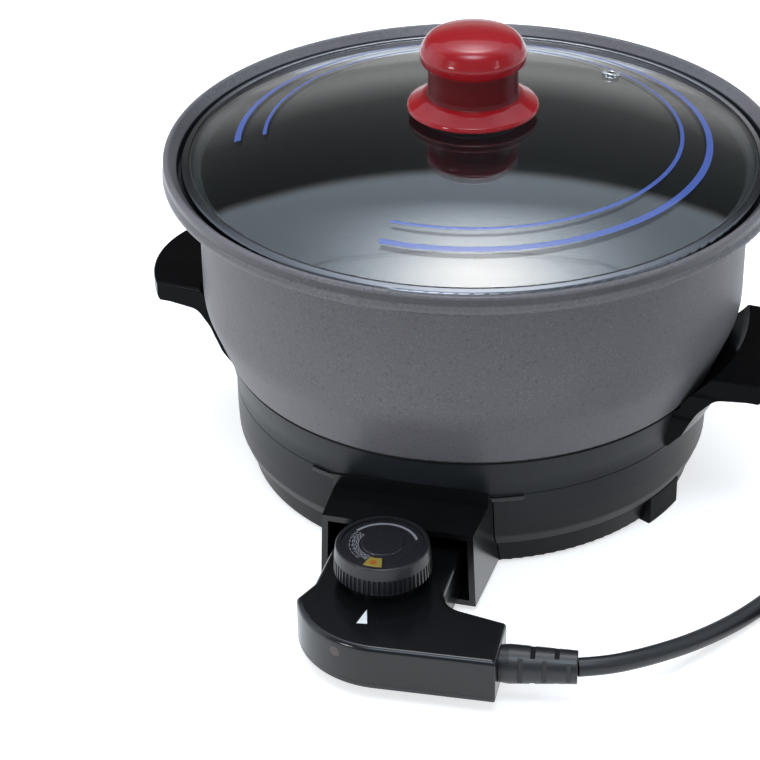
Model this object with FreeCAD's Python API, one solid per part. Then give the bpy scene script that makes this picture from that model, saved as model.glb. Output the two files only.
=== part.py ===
import FreeCAD, Part
import math
import os
from FreeCAD import Placement, Rotation, Vector

# Electric hot pot: a cast pot with a rolled rim sits on a two-part plastic base with ear
# handles, under a loose glass lid. A temperature control with a dial plugs into the guard
# at the front and carries the mains cord. Millimetres, +Z up, the origin on the pot's axis
# in the plane of the feet, the guard and the control along -Y.

os.makedirs("parts", exist_ok=True)

# ---- driving sizes -------------------------------------------------------------------

# Pot
pot_radius = 133.5          # outside of the straight wall
pot_wall = 3.0
rim_overhang = 16.5         # rolled rim beyond the wall
rim_skirt = 10.0            # how far the rolled rim hangs below its crest
seam_height = 65.2          # underside of the step that rests on the base
rim_rise = 103.3            # crest of the rim above the seam
shoulder_rise = 27.3        # the wall draws in below this height above the seam
wall_draw = 10.5            # how far it draws in
floor_drop = 23.2           # inside floor below the seam
floor_inset = 26.0          # flat floor inside the seam
pot_floor_thick = 5.0
ledge_drop = 10.0           # lid ledge below the crest

# Base
base_wall = 2.6
seam_step = 0.7             # the pot stands out past the base at the seam
ring_height = 21.4          # upper ring, from its parting line to the seam
ring_flare = 3.0            # its top stands out past the skirt
lip_thick = 1.8             # the ring's lip behind the skirt
lip_depth = 6.0
skirt_bottom = 15.0
gasket_thick = 1.2
pan_inset = 4.1             # top of the underside pan inside the skirt
pan_taper = 3.1
tray_wall = 2.4
tray_clear = 1.2            # pan above the table
tray_lip = 9.0              # the pan's rim inside the skirt
vent_slot_near = 58.0       # air slots in the pan, from the axis
vent_slot_length = 18.0
vent_slot_width = 3.0
fit_gap = 0.3               # between moulded parts that slide together
touch_gap = 0.1             # between parts that rest on each other
edge_break = 0.4            # chamfer where the skirt meets the pan

# Feet
foot_proud = 2.0            # foot beyond the pan's top
foot_depth = 16.2
foot_angle = -22.0          # the front right foot, the others a quarter turn on
foot_sweep = 12.0
guard_pad_half = 12.0       # pad under the guard's floor, half its width
guard_pad_depth = 14.0
guard_pad_setback = 6.0     # behind the guard's mouth
centre_pad_radius = 11.0    # pad under the pan's middle
centre_pad_skin = 0.4       # rubber below the stud's head

# Handles
handle_turn = -5.0          # the handle line against the X axis, degrees
ear_projection = 46.7       # ear's outer edge beyond the base
ear_rise = 18.4             # ear's top above the seam
ear_thick = 9.8
ear_curve = 62.0            # radius of the ear's outer edge
ear_half_width = 38.0
ear_edge = 1.2
ear_under = 5.0             # rounding below its outer edge
bracket_half_width = 41.0
boss_angle = 13.0
boss_rise = 4.8             # boss above the parting line
boss_radius = 4.0
boss_end = 0.8              # boss and base wall, where they blend
handle_screw_radius = 1.5

# Guard for the control's plug
guard_projection = 26.2     # guard beyond the skirt
guard_depth = 24.3          # and inside it
guard_half_width = 36.0     # at its mouth
guard_spread = 2.5          # wider by this at the base
guard_bottom = 3.0
guard_drop = 1.3            # roof below the parting line
guard_wall = 3.0
guard_draft = 1.5           # each side wider by this at the bottom
collar_rise = 5.5           # upright collar above the parting line
guard_collar_thick = 1.8
guard_plate_half = 48.0
guard_post_depth = 9.0
strip_half_angle = 25.4
strip_thick = 1.5
strip_height = 2.4

# Heating element and the plug's pins
element_inset = 27.0        # element's ring inside the pot's flat floor
element_tube = 3.5          # tube radius
element_half_gap = 16.0     # half the open angle at the terminals, degrees
leg_depth = 3.0             # where the element's legs end behind the guard's plate
pin_drop = 16.0             # pins below the pot's underside
pin_spacing = 26.0
pin_radius = 2.4
pin_recess = 6.5            # pin's tip behind the guard's mouth
pin_clear = 0.06            # running fit in the sleeves
sleeve_length = 22.0
probe_radius = 3.2
probe_end = 6.0             # socket beyond the probe's tip
socket_half_width = 9.0
socket_length = 37.0
socket_gap = 2.0            # socket behind the guard's plate
leg_straight = 10.8         # straight end of each element leg
shield_inset = 5.0          # heat shield inside the flat floor
shield_drop = 7.0           # heat shield below the pins
shield_thick = 0.8
stud_radius = 3.0
stud_head_radius = 5.6
nut_radius = 6.0
nut_height = 4.0

# Lid
rim_width = 9.0             # rim outside the lid
lid_play = 1.8              # between the band and the rim's recess
band_height = 5.8
band_wall = 0.6
band_grip = 3.8             # how far the band laps over the glass
glass_thick = 4.0
glass_rise = 23.1
vent_distance = 93.4
vent_angle = 55.7
vent_radius = 2.2
knob_flange_radius = 31.8
knob_neck_radius = 21.7
knob_cap_radius = 25.4
knob_flange_height = 8.2
knob_neck_height = 14.6
knob_cap_height = 17.6
knob_bolt_radius = 2.5

# Control
control_drop = 13.0         # control's underside below the pins
control_height = 22.0
control_wall = 2.2
cover_split = 2.3           # height of the bottom cover
cover_edge = 2.6            # rounding of the cover's top
neck_insertion = 24.0       # neck inside the guard
neck_half_width = 29.5
dial_projection = 24.5      # dial's axis beyond the guard
arm_projection = 42.1       # rear face of the arm that carries the cord
shoulder_projection = 47.5
front_projection = 78.1
control_right = 63.4
control_left = 34.2
dial_radius = 21.3
dial_height = 13.5
dial_lift = 6.5             # dial above the control
dial_wall = 2.0
dial_flare = 1.2            # how much wider the dial is at its foot
dial_ribs = 60
rib_depth = 0.55
rib_height = 7.6            # ribs, up from the dial's foot
dial_rim = 2.3              # rim round the numbered plate
plate_thick = 1.2
collar_inset = 5.5          # collar inside the dial
shaft_radius = 3.0

# Cord
cord_diameter = 8.5
relief_length = 33.0
relief_radius = 8.8
relief_end_radius = 7.4
relief_neck = 6.4           # where it passes through the cover's wall
relief_slots = 5
relief_first_slot = 8.0
relief_slot_step = 5.3
relief_slot_width = 2.2
relief_slot_floor = 6.0     # from the cord's line to the floor of a slot
relief_turn = 9.5           # its heading against the X axis, degrees
relief_setback = 20.4       # behind the control's front
coil_centre = (226.8, -110.6)
coil_inner_turn = 44.0      # centre line of the inner turns
coil_columns = 2
coil_layers = 2
tail_angle = -20.0          # where the cord leaves the coil for the plug
tail_length = 38.0
plug_length = 40.0
plug_radius = 12.7
plug_pin_radius = 2.4
plug_pin_length = 19.0
plug_pin_spacing = 19.0

# ---- shapes used by many pieces --------------------------------------------------------


def section_point(r, z):
    return Vector(r, 0, z)


def plan_point(x, y):
    return Vector(x, y, 0)


def rounded(corners, place):
    """Closed wire through the corners; a third value rounds that corner to that radius."""
    points = [place(*corner[:2]) for corner in corners]
    bends = []
    for index, corner in enumerate(corners):
        here = points[index]
        back = (points[index - 1] - here).normalize()
        on = (points[(index + 1) % len(points)] - here).normalize()
        radius = corner[2] if len(corner) > 2 else 0.0
        half = back.getAngle(on) / 2
        run = radius / math.tan(half)
        middle = (back + on).normalize() * (radius / math.sin(half) - radius)
        bends.append((here + back * run, here + middle, here + on * run))
    edges = []
    for index, (start, middle, end) in enumerate(bends):
        if (end - start).Length > 1e-6:
            edges.append(Part.Arc(start, middle, end).toShape())
        after = bends[(index + 1) % len(bends)][0]
        if (after - end).Length > 1e-6:
            edges.append(Part.LineSegment(end, after).toShape())
    return Part.Wire(edges)


def turned(corners, start=0.0, sweep=360.0):
    """Solid of revolution about Z from (radius, height) corners, from one angle on."""
    face = Part.Face(rounded(corners, section_point))
    solid = face.revolve(Vector(0, 0, 0), Vector(0, 0, 1), sweep)
    solid.rotate(Vector(0, 0, 0), Vector(0, 0, 1), start)
    return solid


def slab(corners, low, high):
    """Upright prism from (x, y) corners between two heights."""
    solid = Part.Face(rounded(corners, plan_point)).extrude(Vector(0, 0, high - low))
    solid.translate(Vector(0, 0, low))
    return solid


def block(x_low, x_high, y_low, y_high, z_low, z_high):
    size = (x_high - x_low, y_high - y_low, z_high - z_low)
    return Part.makeBox(*size, Vector(x_low, y_low, z_low))


def rod(radius, start, end):
    """Round bar between two points."""
    run = end - start
    return Part.makeCylinder(radius, run.Length, start, run)


def laid_along(solid, start, direction):
    """Move a piece made along Z so that it starts at a point and runs in a direction."""
    solid.Placement = Placement(start, Rotation(Vector(0, 0, 1), direction))
    return solid


def about_axis(solid, angle):
    turned_copy = solid.copy()
    turned_copy.rotate(Vector(0, 0, 0), Vector(0, 0, 1), angle)
    return turned_copy


def polar(radius, angle, height=0.0):
    turn = math.radians(angle)
    return Vector(radius * math.cos(turn), radius * math.sin(turn), height)


def screw(head_radius, head_height, shank_radius, length):
    """Pan-head screw along Z, the shank up from the head's underside at zero."""
    corners = [
        (0, -head_height),
        (head_radius, -head_height, head_height * 0.4),
        (head_radius, 0),
        (shank_radius, 0),
        (shank_radius, length),
        (0, length),
    ]
    return turned(corners)


def round_nosed(radius, length):
    """Pin along Z with a rounded far end."""
    return turned([(0, 0), (radius, 0), (radius, length, radius * 0.8), (0, length)])


def hex_nut(across_radius, bore_radius, height):
    corners = [(polar(across_radius, 60 * side).x, polar(across_radius, 60 * side).y)
               for side in range(6)]
    return slab(corners, 0, height).cut(Part.makeCylinder(bore_radius, height))


def bent_path(points, bend=None):
    """Straight runs joined by tangent arcs: of one radius, or as large as the runs allow."""
    edges = []
    here = points[0]
    for index in range(1, len(points) - 1):
        corner = points[index]
        back = points[index - 1] - corner
        on = points[index + 1] - corner
        half_turn = (math.pi - back.getAngle(on)) / 2
        radius = bend or 0.45 * min(back.Length, on.Length) / math.tan(half_turn)
        run = radius * math.tan(half_turn)
        rise = radius / math.cos(half_turn) - radius
        back.normalize()
        on.normalize()
        start = corner + back * run
        end = corner + on * run
        middle = corner + (back + on).normalize() * rise
        edges.append(Part.LineSegment(here, start).toShape())
        edges.append(Part.Arc(start, middle, end).toShape())
        if bend is None:
            print(f"cord bend {index}: radius {radius:.1f} mm")
        here = end
    edges.append(Part.LineSegment(here, points[-1]).toShape())
    return Part.Wire(edges)


def tube(path, radius):
    """Round tube along a wire."""
    start = path.Edges[0].valueAt(path.Edges[0].FirstParameter)
    direction = path.Edges[0].tangentAt(path.Edges[0].FirstParameter)
    ring = Part.Wire(Part.Circle(start, direction, radius).toShape())
    return path.makePipeShell([ring], True, False)


def save(node, *solids):
    shape = solids[0] if len(solids) == 1 else Part.makeCompound(list(solids))
    shape.exportStep(f"parts/{node}.step")


# ---- pot -----------------------------------------------------------------------------

rim_radius = pot_radius + rim_overhang
seam_radius = pot_radius - wall_draw
pot_floor_radius = seam_radius - floor_inset
rim_height = seam_height + rim_rise
shoulder_height = seam_height + shoulder_rise
pot_floor_height = seam_height - floor_drop
lid_radius = rim_radius - rim_width
ledge_height = rim_height - ledge_drop
recess_radius = lid_radius + lid_play
ring_top_radius = seam_radius - seam_step
ring_inner_radius = ring_top_radius - base_wall
locating_radius = ring_inner_radius - 1.0
pot_bottom = pot_floor_height - pot_floor_thick
wall_slope = (pot_radius - seam_radius) / (shoulder_height - seam_height)


def pot_outer_radius(height):
    """Outside of the pot between the seam and the rim."""
    return min(pot_radius, seam_radius + wall_slope * (height - seam_height))


def make_pot():
    lip_bottom = rim_height - rim_skirt
    under_ledge = ledge_height - pot_wall
    crest_radius = rim_radius - 2.7
    outside = [
        (0, pot_bottom),
        (pot_floor_radius + pot_wall, pot_bottom, 22),
        (locating_radius, seam_height - 4.7, 4),
        (locating_radius, seam_height),
        (seam_radius, seam_height, 0.8),
        (pot_radius, shoulder_height, 30),
        (pot_radius, under_ledge, 3),
        (recess_radius + 2.0, under_ledge + 0.8, 1.2),
        (recess_radius + 2.6, rim_height - 5.8, 1.0),
        (rim_radius - 2.8, rim_height - 6.2, 0.8),
        (rim_radius - 2.2, lip_bottom + 0.1, 0.6),
    ]
    rolled_rim = [
        (rim_radius, lip_bottom, 0.9),
        (rim_radius, lip_bottom + 2.2, 1.2),
        (rim_radius - 0.9, lip_bottom + 4.6, 1.5),
        (rim_radius - 0.4, rim_height - 1.4, 1.6),
        (crest_radius, rim_height, 1.8),
        (recess_radius, ledge_height + 5.2, 1.4),
    ]
    inside = [
        (recess_radius, ledge_height, 0.8),
        (pot_radius - pot_wall, ledge_height, 1.5),
        (pot_radius - pot_wall, shoulder_height, 27),
        (seam_radius - pot_wall, seam_height, 40),
        (pot_floor_radius, pot_floor_height, 18),
        (0, pot_floor_height),
    ]
    save("pot", turned(outside + rolled_rim + inside))


make_pot()

# ---- base ----------------------------------------------------------------------------

ring_top = seam_height - gasket_thick
skirt_radius = ring_top_radius - ring_flare
skirt_inner_radius = skirt_radius - base_wall
crease_height = seam_height - ring_height
tray_top_radius = skirt_radius - pan_inset
tray_radius = tray_top_radius - pan_taper
boss_inner = skirt_inner_radius - fit_gap - lip_thick
boss_height = crease_height + boss_rise
guard_front = skirt_radius + guard_projection
guard_back = skirt_radius - guard_depth
guard_top = crease_height - guard_drop
pin_height = pot_bottom - pin_drop


def boss_placements():
    """Start and direction of each handle's screw bosses, outermost point first."""
    places = []
    for side in (handle_turn, handle_turn + 180.0):
        for offset in (-boss_angle, boss_angle):
            places.append(polar(1.0, side + offset))
    return places


def flat_face(points):
    return Part.Face(Part.makePolygon(points + points[:1]))


def guard_solid(low, high, grow, front=guard_front):
    """Guard's outer form between two heights, grown or shrunk, with draft to its sides."""
    rings = []
    for height in (low, high):
        draft = guard_draft * (guard_top - height) / (guard_top - guard_bottom)
        back_half = guard_half_width + guard_spread + grow + draft
        front_half = guard_half_width + grow + draft
        rings.append([
            Vector(-back_half, -guard_back, height),
            Vector(-front_half, -front, height),
            Vector(front_half, -front, height),
            Vector(back_half, -guard_back, height),
        ])
    under, over = rings
    faces = [flat_face(under), flat_face(over)]
    for index in range(4):
        after = (index + 1) % 4
        faces.append(flat_face([under[index], under[after], over[after], over[index]]))
    return Part.Solid(Part.Shell(faces))


def guard_passage():
    return guard_solid(guard_bottom - fit_gap, guard_top + fit_gap, fit_gap)


def make_gasket():
    corners = [
        (ring_inner_radius + 0.2, ring_top + 0.02),
        (ring_top_radius - 0.3, ring_top + 0.02, 0.3),
        (ring_top_radius - 0.3, seam_height - 0.02, 0.3),
        (ring_inner_radius + 0.2, seam_height - 0.02),
    ]
    save("seam_gasket", turned(corners))


def make_upper_ring():
    split = crease_height + 0.05
    wall = turned([
        (skirt_radius, split, 0.5),
        (skirt_radius + 0.1, crease_height + 5.5, 30),
        (ring_top_radius, ring_top, 0.4),
        (ring_inner_radius, ring_top),
        (skirt_inner_radius, crease_height + 6.5, 20),
        (skirt_inner_radius, split),
    ])
    lip_radius = skirt_inner_radius - fit_gap
    lip = turned([
        (skirt_inner_radius + 0.5, split),
        (skirt_inner_radius + 0.5, crease_height + 2.0),
        (lip_radius - lip_thick, crease_height + 2.0),
        (lip_radius - lip_thick, crease_height - lip_depth),
        (lip_radius, crease_height - lip_depth),
        (lip_radius, split),
    ])
    ring = wall.fuse(lip)
    for direction in boss_placements():
        level = Vector(0, 0, boss_height)
        hole = rod(boss_radius + fit_gap, level + direction * (boss_inner - 5),
                   level + direction * (ring_top_radius + 8))
        ring = ring.cut(hole)
    save("base_upper_ring", ring.cut(guard_passage()).removeSplitter())


def make_skirt():
    lip_top = skirt_bottom + tray_lip + 0.5
    corners = [
        (tray_top_radius + 1.8 - edge_break, skirt_bottom),
        (tray_top_radius + 1.8, skirt_bottom + edge_break),
        (skirt_radius - 0.4, skirt_bottom + 5.5, 5),
        (skirt_radius, skirt_bottom + 15),
        (skirt_radius, crease_height, 0.5),
        (skirt_inner_radius, crease_height),
        (skirt_inner_radius, lip_top + 2.5),
        (tray_top_radius - 0.8, lip_top),
        (tray_top_radius - 0.8, skirt_bottom),
    ]
    save("base_skirt", turned(corners).cut(guard_passage()))


def make_tray():
    lip_radius = tray_top_radius - 0.8 - fit_gap
    top = skirt_bottom - touch_gap
    corners = [
        (stud_radius + fit_gap, tray_clear),
        (tray_radius, tray_clear, 1.5),
        (tray_top_radius, top - edge_break),
        (tray_top_radius - edge_break, top),
        (lip_radius, top),
        (lip_radius, top + tray_lip),
        (lip_radius - tray_wall, top + tray_lip),
        (lip_radius - tray_wall, top - 2),
        (tray_radius - tray_wall, tray_clear + tray_wall, 1.2),
        (stud_radius + fit_gap, tray_clear + tray_wall),
    ]
    tray = turned(corners)
    for slot in range(24):
        vent = block(vent_slot_near, vent_slot_near + vent_slot_length, -vent_slot_width / 2,
                     vent_slot_width / 2, 0, tray_clear + tray_wall + 1)
        tray = tray.cut(about_axis(vent, 15 * slot + 7.5))
    tray = tray.cut(guard_passage())
    back = -guard_back
    for place in guard_screw_places():
        post = block(place.x - 4.4, place.x + 4.4, back + touch_gap, back + guard_post_depth,
                     tray_clear + tray_wall - 0.5, place.z + 5)
        hole = rod(1.67, place, place + Vector(0, 20, 0))
        tray = tray.fuse(post.cut(hole))
    save("base_tray", tray.removeSplitter())


def make_feet():
    foot_outer_radius = tray_top_radius + foot_proud
    foot_inner_radius = foot_outer_radius - foot_depth
    slope = (tray_top_radius - tray_radius) / (skirt_bottom - tray_clear)
    step = tray_clear - touch_gap
    corners = [
        (foot_inner_radius, 0, 0.5),
        (foot_outer_radius, 0, 1.0),
        (foot_outer_radius, skirt_bottom - touch_gap),
        (tray_top_radius + 2 * touch_gap, skirt_bottom - touch_gap),
        (tray_radius + 2 * touch_gap - slope * touch_gap, step),
        (foot_inner_radius, step),
    ]
    feet = []
    for quarter in range(3):
        start = foot_angle + 90 * quarter - foot_sweep / 2
        feet.append(turned(corners, start, foot_sweep))
    pad_front = -guard_front + guard_pad_setback
    feet.append(block(-guard_pad_half, guard_pad_half, pad_front, pad_front + guard_pad_depth,
                      0, guard_bottom - touch_gap))
    centre_recess = stud_head_radius + fit_gap
    feet.append(turned([
        (0, 0),
        (centre_pad_radius, 0, 0.5),
        (centre_pad_radius, step),
        (centre_recess, step),
        (centre_recess, centre_pad_skin),
        (0, centre_pad_skin),
    ]))
    save("feet", *feet)


def guard_screw_places():
    """Screw centres on the front of the guard's plate."""
    across = guard_plate_half - 4.8
    front = -guard_back - guard_wall
    return [Vector(side * across, front, pin_height - 3) for side in (-1, 1)]


make_gasket()
make_upper_ring()
make_skirt()
make_tray()
make_feet()

# ---- handles -------------------------------------------------------------------------

ear_reach = ring_top_radius + ear_projection
ear_top = seam_height + ear_rise


def handle_section():
    """Radial section: the bracket on the base, then the ear that turns outwards."""
    ring_face = skirt_radius + touch_gap
    bottom = crease_height + touch_gap
    ear_bottom = ear_top - ear_thick
    neck_low = seam_height + 3.8
    neck_high = seam_height + 14.8
    return [
        (ring_face, bottom),
        (ring_face + 0.1, crease_height + 5.5, 30),
        (ring_top_radius + touch_gap, ring_top),
        (pot_outer_radius(seam_height + 0.5) + 0.9, seam_height - 0.4),
        (pot_outer_radius(neck_low) + 1.0, neck_low, 12),
        (pot_outer_radius(neck_high) + 6.4, neck_high, 8),
        (pot_outer_radius(ear_top) + 8.6, ear_top + 1),
        (ear_reach + 10, ear_top + 1),
        (ear_reach + 10, ear_bottom),
        (ear_reach - 15, ear_bottom, 20),
        (ear_reach - 29.5, ear_bottom - 1.8, 8),
        (ring_top_radius + 10.2, ring_top, 14),
        (ring_top_radius + 6.9, crease_height + 13.2, 10),
        (ring_top_radius + 4.4, crease_height + 7.5, 10),
        (skirt_radius + 1.2, bottom, 0.4),
    ]


def handle_blank():
    """Space the handle may fill: the ear's plan, and wider below than at the ear."""
    low = crease_height - 5
    bend_low = ring_top - 4
    bend_high = ear_top - ear_thick - 1
    corners = [
        (-bracket_half_width, low),
        (bracket_half_width, low),
        (bracket_half_width, bend_low, 20),
        (ear_half_width, bend_high, 20),
        (ear_half_width, ear_top),
        (-ear_half_width, ear_top),
        (-ear_half_width, bend_high, 20),
        (-bracket_half_width, bend_low, 20),
    ]
    face = Part.Face(rounded(corners, lambda y, z: Vector(0, y, z)))
    prism = face.extrude(Vector(ear_reach + 5, 0, 0))
    ear_bottom = ear_top - ear_thick - 0.8
    plan = turned([
        (0, low),
        (ear_curve - 10, low),
        (ear_curve - 10, ear_bottom - 3),
        (ear_curve, ear_bottom, ear_under),
        (ear_curve, ear_top),
        (0, ear_top),
    ])
    plan.translate(Vector(ear_reach - ear_curve, 0, 0))
    blank = prism.common(plan)
    upper = []
    for edge in blank.Edges:
        box = edge.BoundBox
        if box.XMax > ear_reach - ear_curve and box.ZMin > ear_top - 0.01:
            upper.append(edge)
    return blank.makeFillet(ear_edge, upper)


def make_handles():
    spread = math.degrees(math.asin(bracket_half_width / skirt_radius)) + 5.9
    handle = turned(handle_section(), -spread, 2 * spread).common(handle_blank())
    for offset in (-boss_angle, boss_angle):
        direction = polar(1.0, offset)
        level = Vector(0, 0, boss_height)
        blend = ring_top_radius - boss_end
        boss = rod(boss_radius, level + direction * boss_inner, level + direction * blend)
        hole = rod(handle_screw_radius, level + direction * (boss_inner - 5),
                   level + direction * (blend - 0.5))
        handle = handle.fuse(boss).cut(hole)
    handle = handle.removeSplitter()
    save("right_handle", about_axis(handle, handle_turn))
    save("left_handle", about_axis(handle, handle_turn + 180.0))
    screws = []
    for direction in boss_placements():
        head = Vector(0, 0, boss_height) + direction * (boss_inner - touch_gap)
        screws.append(laid_along(screw(3.0, 2.0, handle_screw_radius - 0.02, 4.6), head, direction))
    save("handle_screws", *screws)


make_handles()

# ---- guard ---------------------------------------------------------------------------


def pin_places(y):
    return [Vector(side * pin_spacing / 2, y, pin_height) for side in (-1, 1)]


def make_guard():
    guard = guard_solid(guard_bottom, guard_top, 0.0)
    hollow = guard_solid(guard_bottom + guard_wall, guard_top - guard_wall, -guard_wall,
                         guard_front + 1)
    behind = block(-60, 60, -guard_back - guard_wall, -guard_back + 1, 0, 60)
    guard = guard.cut(hollow.cut(behind))
    collar_half = guard_half_width + guard_spread - 1.0
    collar_back = -skirt_radius - 2 * touch_gap
    collar = block(-collar_half, collar_half, collar_back - guard_collar_thick, collar_back,
                   guard_top - guard_wall, crease_height + collar_rise)
    guard = guard.fuse(collar)
    plate_low = tray_clear + tray_wall + fit_gap
    plate = block(-guard_plate_half, guard_plate_half, -guard_back - guard_wall, -guard_back,
                  plate_low, pot_bottom - fit_gap)
    guard = guard.fuse(plate)
    pot_space = Part.makeCylinder(boss_inner - fit_gap, 20, Vector(0, 0, pot_bottom - fit_gap))
    guard = guard.cut(pot_space)
    strip_top = crease_height - touch_gap
    strip = turned([
        (skirt_radius + touch_gap, strip_top - strip_height),
        (skirt_radius + strip_thick, strip_top - strip_height, 0.4),
        (skirt_radius + strip_thick, strip_top, 0.4),
        (skirt_radius + touch_gap, strip_top),
    ], -90 - strip_half_angle, 2 * strip_half_angle)
    guard = guard.fuse(strip)
    for place in pin_places(-guard_back - 10):
        guard = guard.cut(rod(pin_radius + 2.1, place, place + Vector(0, 20, 0)))
    middle = Vector(0, -guard_back - 10, pin_height)
    guard = guard.cut(rod(probe_radius + 1.2, middle, middle + Vector(0, 20, 0)))
    for place in guard_screw_places():
        guard = guard.cut(rod(1.7, place - Vector(0, 10, 0), place + Vector(0, 10, 0)))
    save("connector_guard", guard.removeSplitter())


def make_guard_screws():
    screws = []
    for place in guard_screw_places():
        screws.append(laid_along(screw(3.0, 2.2, 1.65, 8.0), place, Vector(0, 1, 0)))
    save("guard_screws", *screws)


make_guard()
make_guard_screws()

# ---- heating element and the plug's pins ---------------------------------------------

element_height = pot_bottom - touch_gap - element_tube
element_radius = pot_floor_radius - element_inset


def make_element():
    start = -90 + element_half_gap
    end = 270 - element_half_gap
    ring_centre = Vector(0, 0, element_height)
    upward = Vector(0, 0, 1)
    arc = Part.Circle(ring_centre, upward, element_radius)
    ring_edge = arc.toShape(math.radians(start), math.radians(end))
    ring_start = polar(element_radius, start, element_height)
    ring = Part.Wire(Part.Circle(ring_start, polar(1, start + 90), element_tube).toShape())
    element = Part.Wire(ring_edge).makePipeShell([ring], True, False)
    for side, angle in ((1, start), (-1, end)):
        root = polar(element_radius, angle, element_height)
        leave = root - polar(1.0, angle + 90 * side) * 3.4
        tip = Vector(side * pin_spacing / 2, -guard_back + leg_depth, pin_height)
        elbow = tip + Vector(0, leg_straight, 0)
        leg = tube(bent_path([root, leave, elbow, tip], 4.5), element_tube - 0.02)
        element = element.fuse(leg)
    save("heating_element", element)


def make_terminals():
    pins = []
    bushes = []
    length = guard_front - pin_recess - guard_back + leg_depth - touch_gap
    forward = Vector(0, -1, 0)
    for place in pin_places(-guard_back + leg_depth - touch_gap):
        pins.append(laid_along(round_nosed(pin_radius, length), place, forward))
        seat = place + forward * (leg_depth - 2 * touch_gap)
        bush = turned([
            (pin_radius + 0.02, -1.6),
            (pin_radius + 3.0, -1.6),
            (pin_radius + 3.0, 0),
            (pin_radius + 2.0, 0),
            (pin_radius + 2.0, guard_wall + 2.2, 0.6),
            (pin_radius + 0.02, guard_wall + 2.2),
        ])
        bushes.append(laid_along(bush, seat, forward))
    save("terminal_pins", *pins)
    save("pin_insulators", *bushes)


def make_element_clamps():
    """Straps that hold the tube against the pot's floor."""
    clamps = []
    foot = element_tube + 6
    low = element_height - element_tube
    for angle in (-30, 90, 210):
        outer = block(element_radius - foot, element_radius + foot, -6, 6, low - 1.2,
                      pot_bottom - touch_gap)
        tunnel = block(element_radius - element_tube - 0.3, element_radius + element_tube + 0.3,
                       -7, 7, low - touch_gap, pot_bottom)
        clamps.append(about_axis(outer.cut(tunnel), angle))
    save("element_clamps", *clamps)


socket_far = guard_back - socket_gap
socket_near = socket_far - socket_length
probe_tip = socket_near + probe_end


def make_probe_socket():
    socket = block(-socket_half_width, socket_half_width, -socket_far, -socket_near,
                   pin_height - 6.5, pot_bottom - touch_gap)
    bore = rod(probe_radius + fit_gap, Vector(0, -socket_far - 1, pin_height),
               Vector(0, -probe_tip + 1.0, pin_height))
    save("probe_socket", socket.cut(bore))


def make_shield_and_stud():
    shield_radius = pot_floor_radius - shield_inset
    shield_height = pin_height - shield_drop
    shield = turned([
        (stud_radius + fit_gap, shield_height),
        (shield_radius - 6, shield_height, 3),
        (shield_radius, shield_height - 5),
        (shield_radius, shield_height - 6),
        (shield_radius - 1, shield_height - 6),
        (shield_radius - 6.6, shield_height - shield_thick, 3),
        (stud_radius + fit_gap, shield_height - shield_thick),
    ])
    save("heat_shield", shield)
    stud_top = pot_bottom - touch_gap
    stud = turned([
        (0, centre_pad_skin + touch_gap),
        (stud_head_radius, centre_pad_skin + touch_gap, 0.3),
        (stud_head_radius, tray_clear - touch_gap),
        (stud_radius, tray_clear - touch_gap),
        (stud_radius, stud_top),
        (0, stud_top),
    ])
    save("centre_stud", stud)
    nuts = []
    below_shield = shield_height - shield_thick - touch_gap - nut_height
    above_tray = tray_clear + tray_wall + touch_gap
    for level in (shield_height + touch_gap, below_shield, above_tray):
        nut = hex_nut(nut_radius, stud_radius + 0.02, nut_height)
        nut.translate(Vector(0, 0, level))
        nuts.append(nut)
    save("stud_nuts", *nuts)


make_element()
make_terminals()
make_element_clamps()
make_probe_socket()
make_shield_and_stud()

# ---- lid -----------------------------------------------------------------------------

band_bottom = ledge_height + touch_gap
band_top = band_bottom + band_height
glass_radius = lid_radius - band_wall - 0.4
glass_edge_top = band_top - band_wall - touch_gap
glass_peak = glass_edge_top + glass_rise
dome_radius = (glass_radius ** 2 + glass_rise ** 2) / (2 * glass_rise)


def dome_height(radius, drop=0.0):
    """Height of the glass's upper face, or of a face that lies a drop below it."""
    sphere = dome_radius - drop
    return glass_peak - dome_radius + math.sqrt(sphere ** 2 - radius ** 2)


def dome_arc(inner, outer, drop):
    """Arc of the glass face between two radii, and its end points."""
    middle = (inner + outer) / 2
    points = [section_point(r, dome_height(r, drop)) for r in (inner, middle, outer)]
    return Part.Arc(*points).toShape()


def dome_shell(inner, outer, top_drop, bottom_drop):
    """Ring or disc of even thickness that follows the glass."""
    top = dome_arc(inner, outer, top_drop)
    bottom = dome_arc(inner, outer, bottom_drop)
    ends = [(r, dome_height(r, top_drop), dome_height(r, bottom_drop)) for r in (inner, outer)]
    sides = [Part.LineSegment(section_point(r, high), section_point(r, low)).toShape()
             for r, high, low in ends]
    wire = Part.Wire(Part.__sortEdges__([top, sides[1], bottom, sides[0]]))
    return Part.Face(wire).revolve(Vector(0, 0, 0), Vector(0, 0, 1), 360)


def vent_frame(solid):
    """Place a piece made about Z on the glass where the steam vent is."""
    foot = polar(vent_distance, vent_angle, dome_height(vent_distance))
    centre = Vector(0, 0, glass_peak - dome_radius)
    return laid_along(solid, foot, foot - centre)


def make_glass():
    glass = dome_shell(knob_bolt_radius + 1.0, glass_radius, 0, glass_thick)
    hole = vent_frame(Part.makeCylinder(vent_radius + 1.0, 20, Vector(0, 0, -10)))
    save("lid_glass", glass.cut(hole))


def make_band():
    grip = lid_radius - band_grip
    grip_height = dome_height(grip) + touch_gap
    corners = [
        (lid_radius, band_bottom, 0.8),
        (lid_radius, band_top, 1.8),
        (grip, grip_height + band_wall, 0.2),
        (grip, grip_height, 0.2),
        (lid_radius - band_wall, band_top - band_wall, 1.2),
        (lid_radius - band_wall, band_bottom + band_wall, 0.4),
        (grip, band_bottom + band_wall),
        (grip, band_bottom),
    ]
    save("lid_band", turned(corners))


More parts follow.
